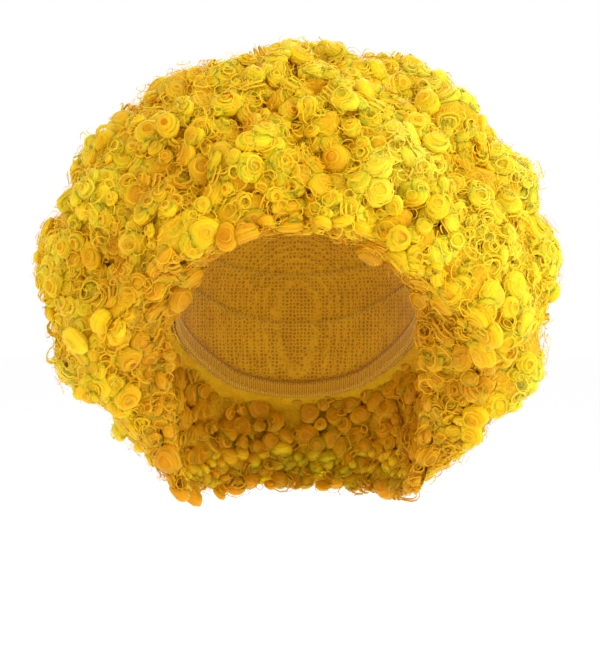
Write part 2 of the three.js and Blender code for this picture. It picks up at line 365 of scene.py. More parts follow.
# Each strand is a row of rings of corners closed by a point at either end. A fine hair has two corners: it is
# too thin for a section and stays a flat row of quads.
def strandFaces(strands, stations, corners):
    if corners == 2:
        here = (np.arange(strands) * stations * 2)[:, None] + np.arange(stations - 1) * 2
        return np.stack([here, here + 1, here + 3, here + 2], -1).reshape(-1, 4), np.zeros((0, 3), int)
    perStrand = stations * corners + 2
    base = (np.arange(strands) * perStrand)[:, None, None]
    ring = (np.arange(stations - 1) * corners)[None, :, None]
    corner = np.arange(corners)[None, None, :]
    following = (np.arange(corners) + 1) % corners
    here = base + ring + corner
    nextHere = base + ring + following[None, None, :]
    quads = np.stack([here, nextHere, nextHere + corners, here + corners], -1).reshape(-1, 4)
    start = base[:, 0] + np.arange(corners)
    startNext = base[:, 0] + following
    startTip = np.broadcast_to(base[:, 0] + stations * corners, start.shape)
    end = start + (stations - 1) * corners
    endNext = startNext + (stations - 1) * corners
    caps = [np.stack([startTip, startNext, start], -1), np.stack([startTip + 1, end, endNext], -1)]
    return quads, np.concatenate(caps).reshape(-1, 3)


# The ends of a strand, as shares of its length: where it opens out and where its width tapers. tipReach is
# how far its closing points stand past its ends, as a share of its last step.
strandEnds = {
    "opensOver": 0.3,
    "rootTaper": 0.1,
    "tipTaper": 0.2,
    "taperPower": 0.7,
    "leastWidth": 0.15,
    "leastThickness": 0.3,
    "tipReach": 0.4,
}
wobble = 0.07  # how far a curl is from round, as a share of its radius


# Curls: a flat ribbon of hair wound up. The turning angle grows evenly, the radius opens from the root and
# closes towards the tip, and the height grows along the axis and with the square of the radius, as on a bowl
# or a dome.
def curls(spec, centre, axis, radius, seed):
    count = len(centre)
    draw = np.random.default_rng(seed)
    first, second = sideways(axis, draw)
    along = np.linspace(0, 1, spec["stations"])[None, :]

    def each(low, high):
        return draw.uniform(low, high, count)[:, None]

    turns = each(*spec["turns"])
    radius = radius[:, None]
    hand = np.where(draw.uniform(size=(count, 1)) < 0.5, -1, 1)
    angle = each(0, fullTurn) + hand * fullTurn * turns * along
    opened = np.sin(halfTurn / 2 * np.clip(along / strandEnds["opensOver"], 0, 1))
    opening = spec["root"] + (1 - spec["root"]) * opened
    closing = np.clip((along - spec["closeFrom"]) / (1 - spec["closeFrom"]), 0, 1) ** spec["closePower"]
    spiral = radius * opening * (1 - each(*spec["tipCloses"]) * closing)
    spiral = spiral * (1 + wobble * np.sin(3 * angle + each(0, fullTurn)))
    height = turns * each(*spec["pitch"]) * (along - 0.5)
    height = height + each(*spec["dome"]) * radius * (0.5 - (spiral / radius) ** 2)
    lean = each(*spec["lean"]) * radius * (along - 0.4) ** 2 * 2
    radial = first[:, None] * np.cos(angle)[..., None] + second[:, None] * np.sin(angle)[..., None]
    axial = np.broadcast_to(axis[:, None], radial.shape)
    middle = centre[:, None] + axial * height[..., None] + radial * spiral[..., None]
    middle = middle + first[:, None] * lean[..., None]
    tilt = each(*spec["tilt"]) + each(*spec["tiltGain"]) * along
    wide = (axial * np.cos(tilt)[..., None] - radial * np.sin(tilt)[..., None]) * hand[..., None]
    thick = radial * np.cos(tilt)[..., None] + axial * np.sin(tilt)[..., None]
    fromEnds = np.minimum(along / strandEnds["rootTaper"], (1 - along) / strandEnds["tipTaper"])
    taper = np.minimum(1, fromEnds) ** strandEnds["taperPower"]
    width = each(*spec["width"]) * np.maximum(taper, strandEnds["leastWidth"]) / 2
    thickness = each(*spec["thickness"]) * np.maximum(taper, strandEnds["leastThickness"]) / 2
    corners = spec["corners"]
    section = np.arange(corners) / corners * fullTurn
    offset = wide[:, :, None] * (np.cos(section) * width[..., None])[..., None]
    offset = offset + thick[:, :, None] * (np.sin(section) * thickness[..., None])[..., None]
    points = (middle[:, :, None] + offset).reshape(count, -1, 3)
    length = fullTurn * turns * radius * along
    acrossWidth = np.cos(section) * spec["width"][1] / 2
    uv = np.stack(np.broadcast_arrays(length[..., None], acrossWidth[None, None]), -1).reshape(count, -1, 2)
    fromRoot = np.repeat(along[0], corners)
    if corners > 2:
        ends, beside = middle[:, [0, -1]], middle[:, [1, -2]]
        points = np.concatenate([points, ends + strandEnds["tipReach"] * (ends - beside)], 1)
        uv = np.concatenate([uv, np.stack([length[:, [0, -1]], np.zeros((count, 2))], -1)], 1)
        fromRoot = np.concatenate([fromRoot, [0, 1]])
    quads, caps = strandFaces(count, spec["stations"], corners)
    return {
        "points": points.reshape(-1, 3),
        "uv": uv.reshape(-1, 2),
        "tone": np.repeat(draw.uniform(0, 1, count), len(fromRoot)),
        "tip": np.tile(fromRoot, count),
        "quads": quads,
        "caps": caps,
    }


# The faces of profiles set round an axis, closed by a point at either end, which come after all the profiles
def poleFaces(around, profile):
    i, j = np.meshgrid(np.arange(around), np.arange(profile - 1), indexing="ij")
    here, following = i * profile + j, (i + 1) % around * profile + j
    quads = np.stack([here, following, following + 1, here + 1], -1).reshape(-1, 4)
    here, following = here[:, 0], following[:, 0]
    first = np.full(around, around * profile)
    start = np.stack([first, following, here], -1)
    end = np.stack([first + 1, here + profile - 1, following + profile - 1], -1)
    return quads, np.concatenate([start, end])


# Knots: curls coiled so close that they read as soft domed discs. The radius is a power of the sine and the
# height the cosine of an angle from the top to the underside, hollowed towards the middle, and waves bend the
# rim. The UV map unrolls them from the top.
def coiledKnots(spec, centre, axis, radius, seed):
    count, around, levels = len(centre), spec["around"], spec["levels"]
    draw = np.random.default_rng(seed)
    first, second = sideways(axis, draw)

    def each(low, high):
        return draw.uniform(low, high, count)[:, None, None]

    angle = (np.arange(around) / around * fullTurn)[None, :, None]
    turn = ((np.arange(levels) + 1) / (levels + 1) * halfTurn)[None, None, :]
    spread = np.sin(turn) ** spec["boxy"]
    radius = radius[:, None, None]
    oval, flat, hollow = each(*spec["oval"]), each(*spec["flat"]), each(*spec["hollow"])
    waver = 1 + wobble * np.sin(2 * angle + each(0, fullTurn))
    waver = waver + spec["lobes"] * np.sin(3 * angle + each(0, fullTurn))
    sunk = hollow * (1 - spread) ** spec["hollowPower"] * (turn < halfTurn / 2)
    x = radius * oval * spread * waver * np.cos(angle)
    y = radius / oval * spread * waver * np.sin(angle)
    z = radius * (flat * np.cos(turn) - sunk) + radius * each(*spec["bend"]) * spread * np.cos(2 * angle)
    grid = np.stack([x, y, z], -1).reshape(count, -1, 3)
    unrolled = spec["unrolled"] * radius * turn
    uv = np.stack([unrolled * np.cos(angle), unrolled * np.sin(angle)], -1).reshape(count, -1, 2)
    poles = np.zeros((count, 2, 3))
    poles[:, 0, 2], poles[:, 1, 2] = (radius * (flat - hollow))[:, 0, 0], -(radius * flat)[:, 0, 0]
    local = np.concatenate([grid, poles], 1)
    points = centre[:, None] + local[..., :1] * first[:, None] + local[..., 1:2] * second[:, None]
    points = points + local[..., 2:] * axis[:, None]
    uv = np.concatenate([uv, np.zeros((count, 2, 2))], 1)
    edge = np.concatenate([np.tile(spread[0, 0] ** 2, around), [0, 0]])
    perKnot = around * levels + 2
    base = (np.arange(count) * perKnot)[:, None, None]
    quads, caps = poleFaces(around, levels)
    return {
        "points": points.reshape(-1, 3),
        "uv": uv.reshape(-1, 2),
        "tone": np.repeat(draw.uniform(0, 1, count), perKnot),
        "tip": np.tile(edge, count),
        "quads": (base + quads[:, [0, 3, 2, 1]]).reshape(-1, 4),
        "caps": (base + caps[:, [0, 2, 1]]).reshape(-1, 3),
    }


ringTone = 0.4


# A closed ring of quads: a profile, closed on itself, carried round the head. One with poles starts and ends
# at a point on the axis instead, and triangles close it there.
def ringPart(points, uv, poles=None):
    around, profile = points.shape[:2]
    points, uv = points.reshape(-1, 3), uv.reshape(-1, 2)
    if poles is None:
        i, j = np.meshgrid(np.arange(around), np.arange(profile), indexing="ij")
        nextI, nextJ = (i + 1) % around, (j + 1) % profile
        corners = [i * profile + j, nextI * profile + j, nextI * profile + nextJ, i * profile + nextJ]
        quads, caps = np.stack(corners, -1).reshape(-1, 4), np.zeros((0, 3), int)
    else:
        quads, caps = poleFaces(around, profile)
        points = np.concatenate([points, poles])
        uv = np.concatenate([uv, np.zeros((2, 2))])
    tone, tip = np.full(len(points), ringTone), np.zeros(len(points))
    return {"points": points, "uv": uv, "tone": tone, "tip": tip, "quads": quads, "caps": caps, "slot": 0}


# Soft hair catches light by the whole mass more than by each strand: the mesh's own normals, part of the way
# towards the outward direction of the hair
def softenNormals(mesh, parts):
    own = np.zeros(len(mesh.vertices) * 3, np.float32)
    mesh.vertex_normals.foreach_get("vector", own)
    outward = np.concatenate([part["outward"] for part in parts])
    share = np.concatenate([np.full(len(part["points"]), part["softness"]) for part in parts])[:, None]
    mesh.normals_split_custom_set_from_vertices(unit(own.reshape(-1, 3) * (1 - share) + outward * share))


# Puts the parts of a piece together into one mesh: points, faces, a UV map and the tone and tip of each hair
def pieceFrom(name, parts, materials):
    points = np.concatenate([part["points"] for part in parts])
    uv = np.concatenate([part["uv"] for part in parts])
    starts = np.cumsum([0] + [len(part["points"]) for part in parts[:-1]])
    quads = np.concatenate([part["quads"] + start for part, start in zip(parts, starts)])
    caps = np.concatenate([part["caps"] + start for part, start in zip(parts, starts)])
    slots = [np.full(len(part["quads"]), part["slot"]) for part in parts]
    slots += [np.full(len(part["caps"]), part["slot"]) for part in parts]
    loops = np.concatenate([quads.ravel(), caps.ravel()])
    quadStarts = np.arange(len(quads)) * 4
    capStarts = quadStarts.size * 4 + np.arange(len(caps)) * 3
    mesh = bpy.data.meshes.new(name)
    mesh.vertices.add(len(points))
    mesh.vertices.foreach_set("co", points.astype(np.float32).ravel())
    mesh.loops.add(len(loops))
    mesh.loops.foreach_set("vertex_index", loops.astype(np.int32))
    mesh.polygons.add(len(quads) + len(caps))
    mesh.polygons.foreach_set("loop_start", np.concatenate([quadStarts, capStarts]).astype(np.int32))
    mesh.polygons.foreach_set("material_index", np.concatenate(slots).astype(np.int32))
    mesh.update(calc_edges=True)
    mesh.uv_layers.new(name="strandUv").data.foreach_set("uv", uv[loops].astype(np.float32).ravel())
    for key in ("tone", "tip"):
        values = np.concatenate([part[key] for part in parts]).astype(np.float32)
        mesh.attributes.new(key, "FLOAT", "POINT").data.foreach_set("value", values)
    mesh.shade_smooth()
    for material in materials:
        mesh.materials.append(material)
    if all("outward" in part for part in parts):
        softenNormals(mesh, parts)
    piece = bpy.data.objects.new(name, mesh)
    bpy.context.scene.collection.objects.link(piece)
    print(name, "made of", len(quads) * 2 + len(caps), "triangles")
    return piece


# Materials

# sRGB hex to linear colour
def linear(hexColour):
    channels = [int(hexColour[i:i + 2], 16) / 255 for i in (1, 3, 5)]
    return [c / 12.92 if c <= 0.04045 else ((c + 0.055) / 1.055) ** 2.4 for c in channels] + [1]


def newMaterial(name):
    material = bpy.data.materials.new(name)
    material.use_nodes = True
    material.node_tree.nodes.clear()
    return material, material.node_tree


# Adds a node with its settings, values and links. A value that is a socket is linked, and i0 is the first
# input.
def addNode(tree, kind, settings=None, **inputs):
    node = tree.nodes.new(kind)
    for key, value in (settings or {}).items():
        setattr(node, key, value)
    for key, value in inputs.items():
        byNumber = key[0] == "i" and key[1:].isdigit()
        socket = node.inputs[int(key[1:]) if byNumber else key.replace("_", " ")]
        if isinstance(value, bpy.types.NodeSocket):
            tree.links.new(value, socket)
        else:
            socket.default_value = value
    return node


# The result of a math node
def maths(tree, operation, *values):
    inputs = {f"i{number}": value for number, value in enumerate(values)}
    return addNode(tree, "ShaderNodeMath", {"operation": operation}, **inputs).outputs[0]


# The sum of values, each times its share
def weighed(tree, *pairs):
    total = 0
    for value, share in pairs:
        total = maths(tree, "MULTIPLY_ADD", value, share, total)
    return total


# Random clouds about as large as size
def noise(tree, vector, size, detail, roughness=0.5):
    return addNode(tree, "ShaderNodeTexNoise", Vector=vector, Scale=1 / size, Detail=detail,
                   Roughness=roughness).outputs["Fac"]


def objectPlace(tree):
    return addNode(tree, "ShaderNodeTexCoord").outputs["Object"]


def strandUv(tree):
    return addNode(tree, "ShaderNodeUVMap", {"uv_map": "strandUv"}).outputs["UV"]


# The tone or the tip that the meshes keep for each hair
def ofHair(tree, name):
    return addNode(tree, "ShaderNodeAttribute", {"attribute_name": name}).outputs["Fac"]


# Colours along a ramp, from pairs of a place and a hex colour
def shaded(tree, factor, stops):
    node = addNode(tree, "ShaderNodeValToRGB", i0=factor)
    ramp = node.color_ramp
    while len(ramp.elements) < len(stops):
        ramp.elements.new(0.5)
    for element, (place, hexColour) in zip(ramp.elements, stops):
        element.position = place
        element.color = linear(hexColour)
    return node.outputs["Color"]


# The shader with its colour, gloss and relief, and the material's output
def finishSurface(tree, look, colour, height, invert=False):
    relief = addNode(tree, "ShaderNodeBump", {"invert": invert}, Strength=look["bump"],
                     Distance=look["relief"], Height=height)
    shader = addNode(tree, "ShaderNodeBsdfPrincipled", Base_Color=colour, Normal=relief.outputs["Normal"],
                     **look["surface"])
    addNode(tree, "ShaderNodeOutputMaterial", Surface=shader.outputs["BSDF"])


curlWidth = 2.8 * mm  # of the widest ribbon of hair
cloudSize = 45 * mm  # of slow changes of shade
hairGlow = (1.0, 0.6, 0.12)  # how deep red, green and blue light go into a mass of hair, against each other
hairSurface = {
    "Roughness": 0.5,
    "Specular_IOR_Level": 0.15,
    "Sheen_Weight": 0.1,
    "Sheen_Tint": linear("#ffe890"),
}

hairFinish = {
    "shades": [(0.15, "#d49200"), (0.4, "#e8b004"), (0.66, "#f0c60e"), (0.98, "#f8dc38")],
    # of a single hair, paler than the curls: painted light for the glow of light through thin hair, which its
    # shader lacks
    "frizzPaintedGlowShades": [(0.15, "#dea406"), (0.4, "#ecbe0c"), (0.66, "#f2ce1e"), (0.98, "#fae45c")],
    "subsurface": 0.75,
    "streakWidth": 0.7 * mm,  # hairs are far finer, drawn as coarse as needed to show
    "streakLength": 14 * mm,
    "streakShare": 0.4,
    "toneShare": 0.09,
    # painted light: each ribbon paler towards its edges
    "paintedEdgeLight": 0.22,
    # painted shade: darker at a strand's root, deep in the hair, paler towards its tip
    "paintedRootShade": 0.18,
    "cloudShare": 0.3,
    "bump": 0.3,
    "relief": 0.5 * mm,
    "surface": {**hairSurface, "Subsurface_Radius": (1.0, 0.8, 0.4), "Subsurface_Scale": 0.8 * mm},
}


# Permed acrylic fibre, curled on rods: soft gloss along the strands, light shining through the thin curls, each
# lock its own shade. Each ribbon is paler towards its edges, painted light, and darker at its root, painted shade
# deep in the hair
def curlMaterial(name, subsurface, shades):
    look = {**hairFinish, "surface": {**hairFinish["surface"], "Subsurface_Weight": subsurface}}
    material, tree = newMaterial(name)
    uv = strandUv(tree)
    scale = (1 / look["streakLength"], 1 / look["streakWidth"], 1)
    stretched = addNode(tree, "ShaderNodeMapping", Vector=uv, Scale=scale).outputs["Vector"]
    streaks = noise(tree, stretched, 1, 2, 0.6)
    across = addNode(tree, "ShaderNodeSeparateXYZ", i0=uv).outputs["Y"]
    factor = weighed(
        tree,
        (streaks, look["streakShare"]),
        (ofHair(tree, "tone"), look["toneShare"]),
        (maths(tree, "ABSOLUTE", across), look["paintedEdgeLight"] / (curlWidth / 2)),
        (ofHair(tree, "tip"), look["paintedRootShade"]),
        (noise(tree, objectPlace(tree), cloudSize, 1), look["cloudShare"]),
    )
    finishSurface(tree, look, shaded(tree, factor, shades), streaks)
    return material


knotFinish = {
    "ringWidth": 2.3 * mm,  # from one turn of a coiled curl to the next
    # the turns' crests paler and the grooves between them darker: painted shade
    "ringShare": 0.06,
    "ringRelief": 0.4,
    "streakWidth": 1.0 * mm,  # far coarser than a hair, to show
    "streaksAround": 1.6,
    "streakSpread": 40,  # how unlike the streaks of knots of different tones are
    "streakShare": 0.3,
    "fuzzSize": 1.3 * mm,  # coarser than a hair too
    "fuzzShare": 0.16,
    # painted light: paler round the knot's rim, darker in its middle
    "paintedRimLight": 0.22,
    "cloudShare": 0.35,
    "bump": 0.4,
    "relief": 0.6 * mm,
    "surface": {
        **hairSurface,
        "Subsurface_Weight": hairFinish["subsurface"],
        "Subsurface_Radius": hairGlow,
        "Subsurface_Scale": 9 * mm,
    },
}


# The same fibre coiled close: the distance from a knot's middle and the angle round it draw the turns of the coil,
# and streaks run along them. Each knot is paler round its rim, painted light, and a little darker in the grooves
# between its turns, painted shade
def knotMaterial():
    look = knotFinish
    material, tree = newMaterial("coiledAcrylicKnots")
    uv, spot, tone = strandUv(tree), objectPlace(tree), ofHair(tree, "tone")
    flat = addNode(tree, "ShaderNodeSeparateXYZ", i0=uv).outputs
    away = addNode(tree, "ShaderNodeVectorMath", {"operation": "LENGTH"}, i0=uv).outputs["Value"]
    heading = addNode(tree, "ShaderNodeVectorMath", {"operation": "NORMALIZE"}, i0=uv).outputs["Vector"]
    around = maths(tree, "ARCTAN2", flat["Y"], flat["X"])
    turns = maths(tree, "SINE", maths(tree, "MULTIPLY_ADD", away, fullTurn / look["ringWidth"], around))
    outward = addNode(tree, "ShaderNodeCombineXYZ", Z=maths(tree, "MULTIPLY", away, 1 / look["streakWidth"]))
    along = addNode(tree, "ShaderNodeVectorMath", {"operation": "MULTIPLY_ADD"}, i0=heading,
                    i1=(look["streaksAround"], look["streaksAround"], 0), i2=outward.outputs["Vector"])
    shifted = maths(tree, "MULTIPLY", tone, look["streakSpread"])
    streaks = addNode(tree, "ShaderNodeTexNoise", {"noise_dimensions": "4D"}, Vector=along.outputs["Vector"],
                      W=shifted, Scale=1, Detail=2, Roughness=0.6).outputs["Fac"]
    fuzz = noise(tree, spot, look["fuzzSize"], 2, 0.6)
    factor = weighed(
        tree,
        (noise(tree, spot, cloudSize, 1), look["cloudShare"]),
        (tone, hairFinish["toneShare"]),
        (streaks, look["streakShare"]),
        (fuzz, look["fuzzShare"]),
        (turns, look["ringShare"]),
        (ofHair(tree, "tip"), look["paintedRimLight"]),
    )
    height = weighed(tree, (streaks, 1), (turns, look["ringRelief"]), (fuzz, 1))
    finishSurface(tree, look, shaded(tree, factor, hairFinish["shades"]), height)
    return material


massFinish = {
    # darkest where the hair is lowest: painted shade
    "shades": [(0.05, "#e49e00"), (0.25, "#ecb002"), (0.45, "#f2be0a"), (0.7, "#f8ce22")],
    "curlSize": 13 * mm,
    "bendSize": 9 * mm,
    "bend": 5 * mm,
    "ringWidth": 3 * mm,
    "ringShare": 0.05,
    "frizzSize": 1.4 * mm,
    "sunkAndShadedBetweenCurls": -0.35,
    "bump": 0.8,
    "relief": 2 * mm,
    "surface": {
        **hairSurface,
        "Roughness": 0.6,
        "Sheen_Weight": 0.15,
        "Subsurface_Weight": 0.6,
        "Subsurface_Radius": hairGlow,
        "Subsurface_Scale": 6 * mm,
    },
}


# The dense hair under the outer curls: rings of curls pressed together, with frizz between them; its colour
# follows its relief, painted shade where it is sunk between the curls and in the frizz's dips
def massMaterial():
    look = massFinish
    material, tree = newMaterial("packedAcrylicHair")
    spot = objectPlace(tree)
    bend = addNode(tree, "ShaderNodeTexNoise", Vector=spot, Scale=1 / look["bendSize"], Detail=1)
    bent = addNode(tree, "ShaderNodeVectorMath", {"operation": "MULTIPLY_ADD"}, i0=bend.outputs["Color"],
                   i1=(look["bend"],) * 3, i2=spot)
    cells = addNode(tree, "ShaderNodeTexVoronoi", Vector=bent.outputs["Vector"], Scale=1 / look["curlSize"])
    away = cells.outputs["Distance"]
    ringTurn = fullTurn * look["curlSize"] / look["ringWidth"]
    rings = maths(tree, "SINE", maths(tree, "MULTIPLY", away, ringTurn))
    frizz = noise(tree, spot, look["frizzSize"], 3, 0.7)
    height = weighed(tree, (frizz, 1), (rings, look["ringShare"]), (away, look["sunkAndShadedBetweenCurls"]))
    # the colour follows the height: painted shade where the hair is sunk
    finishSurface(tree, look, shaded(tree, height, look["shades"]), height)
    return material


capFinish = {
    # the threads' colour, then the holes' darker one: painted shade
    "shades": [(0.16, "#e6b21a"), (0.5, "#a87206")],
    "meshSize": 2.4 * mm,  # a real net's holes are about 1 mm, drawn larger to show
    "unevenness": 0.45,
    "wearSize": 14 * mm,
    "wearShare": 0.3,
    "bump": 0.6,
    "relief": 0.6 * mm,
    "surface": {"Roughness": 0.8, "Specular_IOR_Level": 0.2, "Sheen_Weight": 0.2},
}


# Elastic knitted net: matte threads round small rounded holes, along the borders of even cells. The holes are
# painted dark, painted shade seen through them
def netMaterial():
    look = capFinish
    material, tree = newMaterial("elasticKnitNet")
    spot = objectPlace(tree)
    holes = addNode(tree, "ShaderNodeTexVoronoi", {"feature": "DISTANCE_TO_EDGE"}, Vector=spot,
                    Scale=1 / look["meshSize"], Randomness=look["unevenness"]).outputs["Distance"]
    factor = weighed(tree, (holes, 1), (noise(tree, spot, look["wearSize"], 2), look["wearShare"]))
    finishSurface(tree, look, shaded(tree, factor, look["shades"]), holes, invert=True)
    return material


tapeFinish = {
    "ribDistortion": 0.6,
    "bump": 0.4,
    "relief": 0.3 * mm,
    "surface": {"Roughness": 0.75, "Specular_IOR_Level": 0.25, "Sheen_Weight": 0.2},
}


# Woven elastic tape and the zigzag thread that sews it: matte, with fine ribs along it, darker in the grooves
# between them: painted shade
def tapeMaterial(name, shade, colour, ribSize):
    look = tapeFinish
    material, tree = newMaterial(name)
    bands = {"wave_type": "BANDS", "bands_direction": "X"}
    ribs = addNode(tree, "ShaderNodeTexWave", bands, Vector=strandUv(tree), Scale=1 / (ribSize * halfTurn),
                   Distortion=look["ribDistortion"], Detail=2).outputs["Fac"]
    # the grooves between the ribs take the darker colour: painted shade
    finishSurface(tree, look, shaded(tree, ribs, [(0.1, shade), (0.8, colour)]), ribs)
    return material


curlLook = curlMaterial("permedAcrylicCurls", hairFinish["subsurface"], hairFinish["shades"])
frizzLook = curlMaterial("frizzedAcrylicFibre", 0, hairFinish["frizzPaintedGlowShades"])
massLook, knotLook, netLook = massMaterial(), knotMaterial(), netMaterial()
bandLook = tapeMaterial("ribbedElasticTape", "#b07a08", "#dba81c", 1.6 * mm)
threadLook = tapeMaterial("sewingThread", "#d09c14", "#f2cf4a", 1.0 * mm)
print("materials made")


# The rows of hair, dressed

# The profile of a row's dense hair, round from the cap: down and out by turns, most finely on the outside
massForm = {
    "innerStops": 10,
    "sideStops": 4,
    "outerStops": 13,
    "sideOut": 0.86,  # where the rounded outside begins
    "bulge": 0.14,
    "knotRadius": (6 * mm, 9.5 * mm),
    "inset": 11.5 * mm,  # how far the dense hair between its knots stays inside the row's outside
    "underside": 0.95,  # how far down it goes, so that curls cover its underside
    "offNeck": 12 * mm,
    "softness": 0.3,
}


# Down the strip, out along the underside, back up the rounded outside as half an ellipse, and in along the
# top
def massProfile():
    strip = np.linspace(0, 1, massForm["innerStops"], endpoint=False)
    side = np.linspace(0, 1, massForm["sideStops"], endpoint=False)
    arc = np.linspace(0, halfTurn, massForm["outerStops"])
    outside = massForm["sideOut"] + massForm["bulge"] * np.sin(arc) ** 0.5
    down = np.concatenate([strip, np.ones(len(side)), 0.5 + 0.5 * np.cos(arc), np.zeros(len(side) - 1)])
    down = down * massForm["underside"]
    top = (massForm["sideOut"] * side[1:])[::-1]
    out = np.concatenate([0 * strip, side * massForm["sideOut"], outside, top])
    return down, out


# The height of round knots of hair over a surface: at each point the highest of the balls round the knots'
# centres
def knots(points, centres, radii):
    flat = points.reshape(-1, 3).astype(np.float32)
    centres = centres.astype(np.float32)
    squared = (flat**2).sum(-1)[:, None] + (centres**2).sum(-1) - 2 * flat @ centres.T
    height = np.sqrt(np.clip(radii.astype(np.float32) ** 2 - squared, 0, None)).max(-1)
    return height.reshape(points.shape[:-1])


# The dense hair of a row, with knots the size of a curl. The crown's is closed at two poles on the axis.
def rowMass(row, seed):
    down, out = massProfile()
    poles = None
    if row["from"] == 0:
        down, out = down[1:-massForm["sideStops"]], out[1:-massForm["sideStops"]]
        ends = np.array([0.0, 0.0]), np.array([0.0, 0.97])
        poles = inRow(row, np.zeros(2), *ends, groove=0)
    azimuth = np.arange(row["around"]) / row["around"] * fullTurn
    az, dn = np.meshgrid(azimuth, down, indexing="ij")
    ou = np.broadcast_to(out, az.shape)
    points = inRow(row, az, dn, ou)
    outward = points - inRow(row, az, dn, np.zeros_like(ou), groove=0)
    knotAzimuth, knotAlong = evenPlaces(row, row["knots"], 0, 1, seed)
    draw = np.random.default_rng(seed)
    radii = draw.uniform(*massForm["knotRadius"], len(knotAzimuth))
    height = knots(points, inRow(row, knotAzimuth, knotAlong, np.ones_like(knotAlong)), radii)
    pull = (height - massForm["inset"]) * np.clip(ou / 0.5, 0, 1)
    points = points + unit(outward) * pull[..., None]
    hanging = np.clip((row["from"] + (row["spreadTo"] - row["from"]) * dn - rim) / 0.1, 0, 1)
    points = clearOfHead(points, liftOfHair + massForm["offNeck"] * hanging * (row["to"] == rim))
    part = ringPart(points, np.stack([az * 0.1, dn * 0.05], -1), poles)
    outward = unit(outward).reshape(-1, 3)
    if poles is not None:
        outward = np.concatenate([outward, [(0, 0, -1), (0, 0, 1)]])
    return {**part, "slot": massSlot, "outward": outward, "softness": massForm["softness"]}


# The materials' places on each piece of hair
strandSlot, massSlot, knotSlot, frizzSlot = 0, 1, 2, 3

# Curls seen end on, as discs with rings in them
knotSpec = {
    "form": coiledKnots,
    "look": knotSlot,
    "around": 12,
    "levels": 4,
    "radius": (4 * mm, 9.6 * mm),
    "mostlySmall": 1.2,
    "oval": (0.88, 1.13),
    "boxy": 0.8,  # the lower, the squarer its side
    "lobes": 0.04,
    "flat": (0.45, 0.75),
    "hollow": (0.0, 0.35),
    "hollowPower": 1.5,
    "unrolled": 0.7,  # how far round its section a point is, against the angle times the radius
    "bend": (-0.08, 0.08),
    "proud": (-6.5 * mm, 2 * mm),
    "mostlyLow": 2,
    "patchy": 1.6 * mm,
    "stray": 0.5,  # how far the axis strays from straight out
    "softness": 0.2,
}

# A loose hair round a knot
woundSpec = {
    "form": curls,
    "look": frizzSlot,
    "stations": 11,
    "corners": 2,
    "turns": (0.8, 1.3),
    "share": (0.3, 1.12),  # of the knot's radius
    "height": 0.72,  # of the dome that they are wound over
    "rise": (-0.4, 0.16),  # how far the widest ones are off it
    "root": 0.95,
    "closeFrom": 0.2,
    "closePower": 1.2,
    "tipCloses": (0.0, 0.35),
    "pitch": (-0.6 * mm, 0.6 * mm),
    "dome": (0.0, 0.2),
    "lean": (-0.15, 0.15),
    "tilt": (0.5, 1.5),
    "tiltGain": (-0.2, 0.2),
    "width": (0.4 * mm, 1.0 * mm),
    "thickness": (0, 0),
    "stray": 0.1,
    "softness": 0,
}

# Open curls: rings and cups of ribbon
curlSpec = {
    "form": curls,
    "look": strandSlot,
    "stations": 26,
    "corners": 3,
    "turns": (1.5, 2.6),
    "radius": (3.6 * mm, 8.6 * mm),
    "mostlySmall": 1,
    "root": 0.9,
    "closeFrom": 0.2,
    "closePower": 1.2,
    "tipCloses": (0.2, 0.8),
    "pitch": (0.2 * mm, 2.6 * mm),
    "dome": (-0.1, 0.4),
    "lean": (-0.5, 0.5),
    "tilt": (0.2, 1.4),
    "tiltGain": (-0.3, 0.5),
    "width": (1.2 * mm, curlWidth),
    "thickness": (0.4 * mm, 0.8 * mm),
    "proud": (-2.5 * mm, 2.5 * mm),
    "mostlyLow": 1,
    "patchy": 0,
    "stray": 1.0,
    "softness": 0.25,
}

# Curls seen from the side, as short corkscrews
ringletSpec = {
    "form": curls,
    "look": strandSlot,
    "stations": 28,
    "corners": 3,
    "turns": (2.4, 3.8),
    "radius": (3.2 * mm, 5.6 * mm),
    "mostlySmall": 1,
    "root": 0.7,
    "closeFrom": 0.5,
    "closePower": 1.5,
    "tipCloses": (0.2, 0.8),
    "pitch": (2.6 * mm, 4.2 * mm),
    "dome": (0, 0),
    "lean": (-0.8, 0.8),
    "tilt": (0.0, 0.6),
    "tiltGain": (0.0, 0.4),
    "width": (1.4 * mm, curlWidth),
    "thickness": (0.5 * mm, 0.9 * mm),
    "proud": (-3 * mm, 3 * mm),
    "mostlyLow": 1,
    "patchy": 0,
    "stray": 2.5,
    "softness": 0.25,
}

# Single loose loops of frizz
loopSpec = {
    "form": curls,
    "look": frizzSlot,
    "stations": 11,
    "corners": 2,
    "turns": (0.6, 1.6),
    "radius": (2.4 * mm, 7.5 * mm),
    "mostlySmall": 1.3,
    "root": 0.8,
    "closeFrom": 0.3,
    "closePower": 1.2,
    "tipCloses": (0.0, 0.6),
    "pitch": (1.5 * mm, 5 * mm),
    "dome": (-0.2, 0.2),
    "lean": (-0.6, 0.6),
    "tilt": (0.6, 1.6),
    "tiltGain": (-0.4, 0.4),
    "width": (0.35 * mm, 0.7 * mm),
    "thickness": (0, 0),
    "proud": (-2.5 * mm, 4.5 * mm),
    "mostlyLow": 1,
    "patchy": -0.8 * mm,
    "stray": 0.9,
    "softness": 0,
}
headGap = 3.5 * mm  # what the curls keep off the head
patchSize = 48 * mm  # from where the knots come to the outside to where the frizz does
lumpPaintedLight, innerPaintedShade = 1.1, 4  # painted light on raised hair, and painted shade in its creases and on the hair round the face and neck


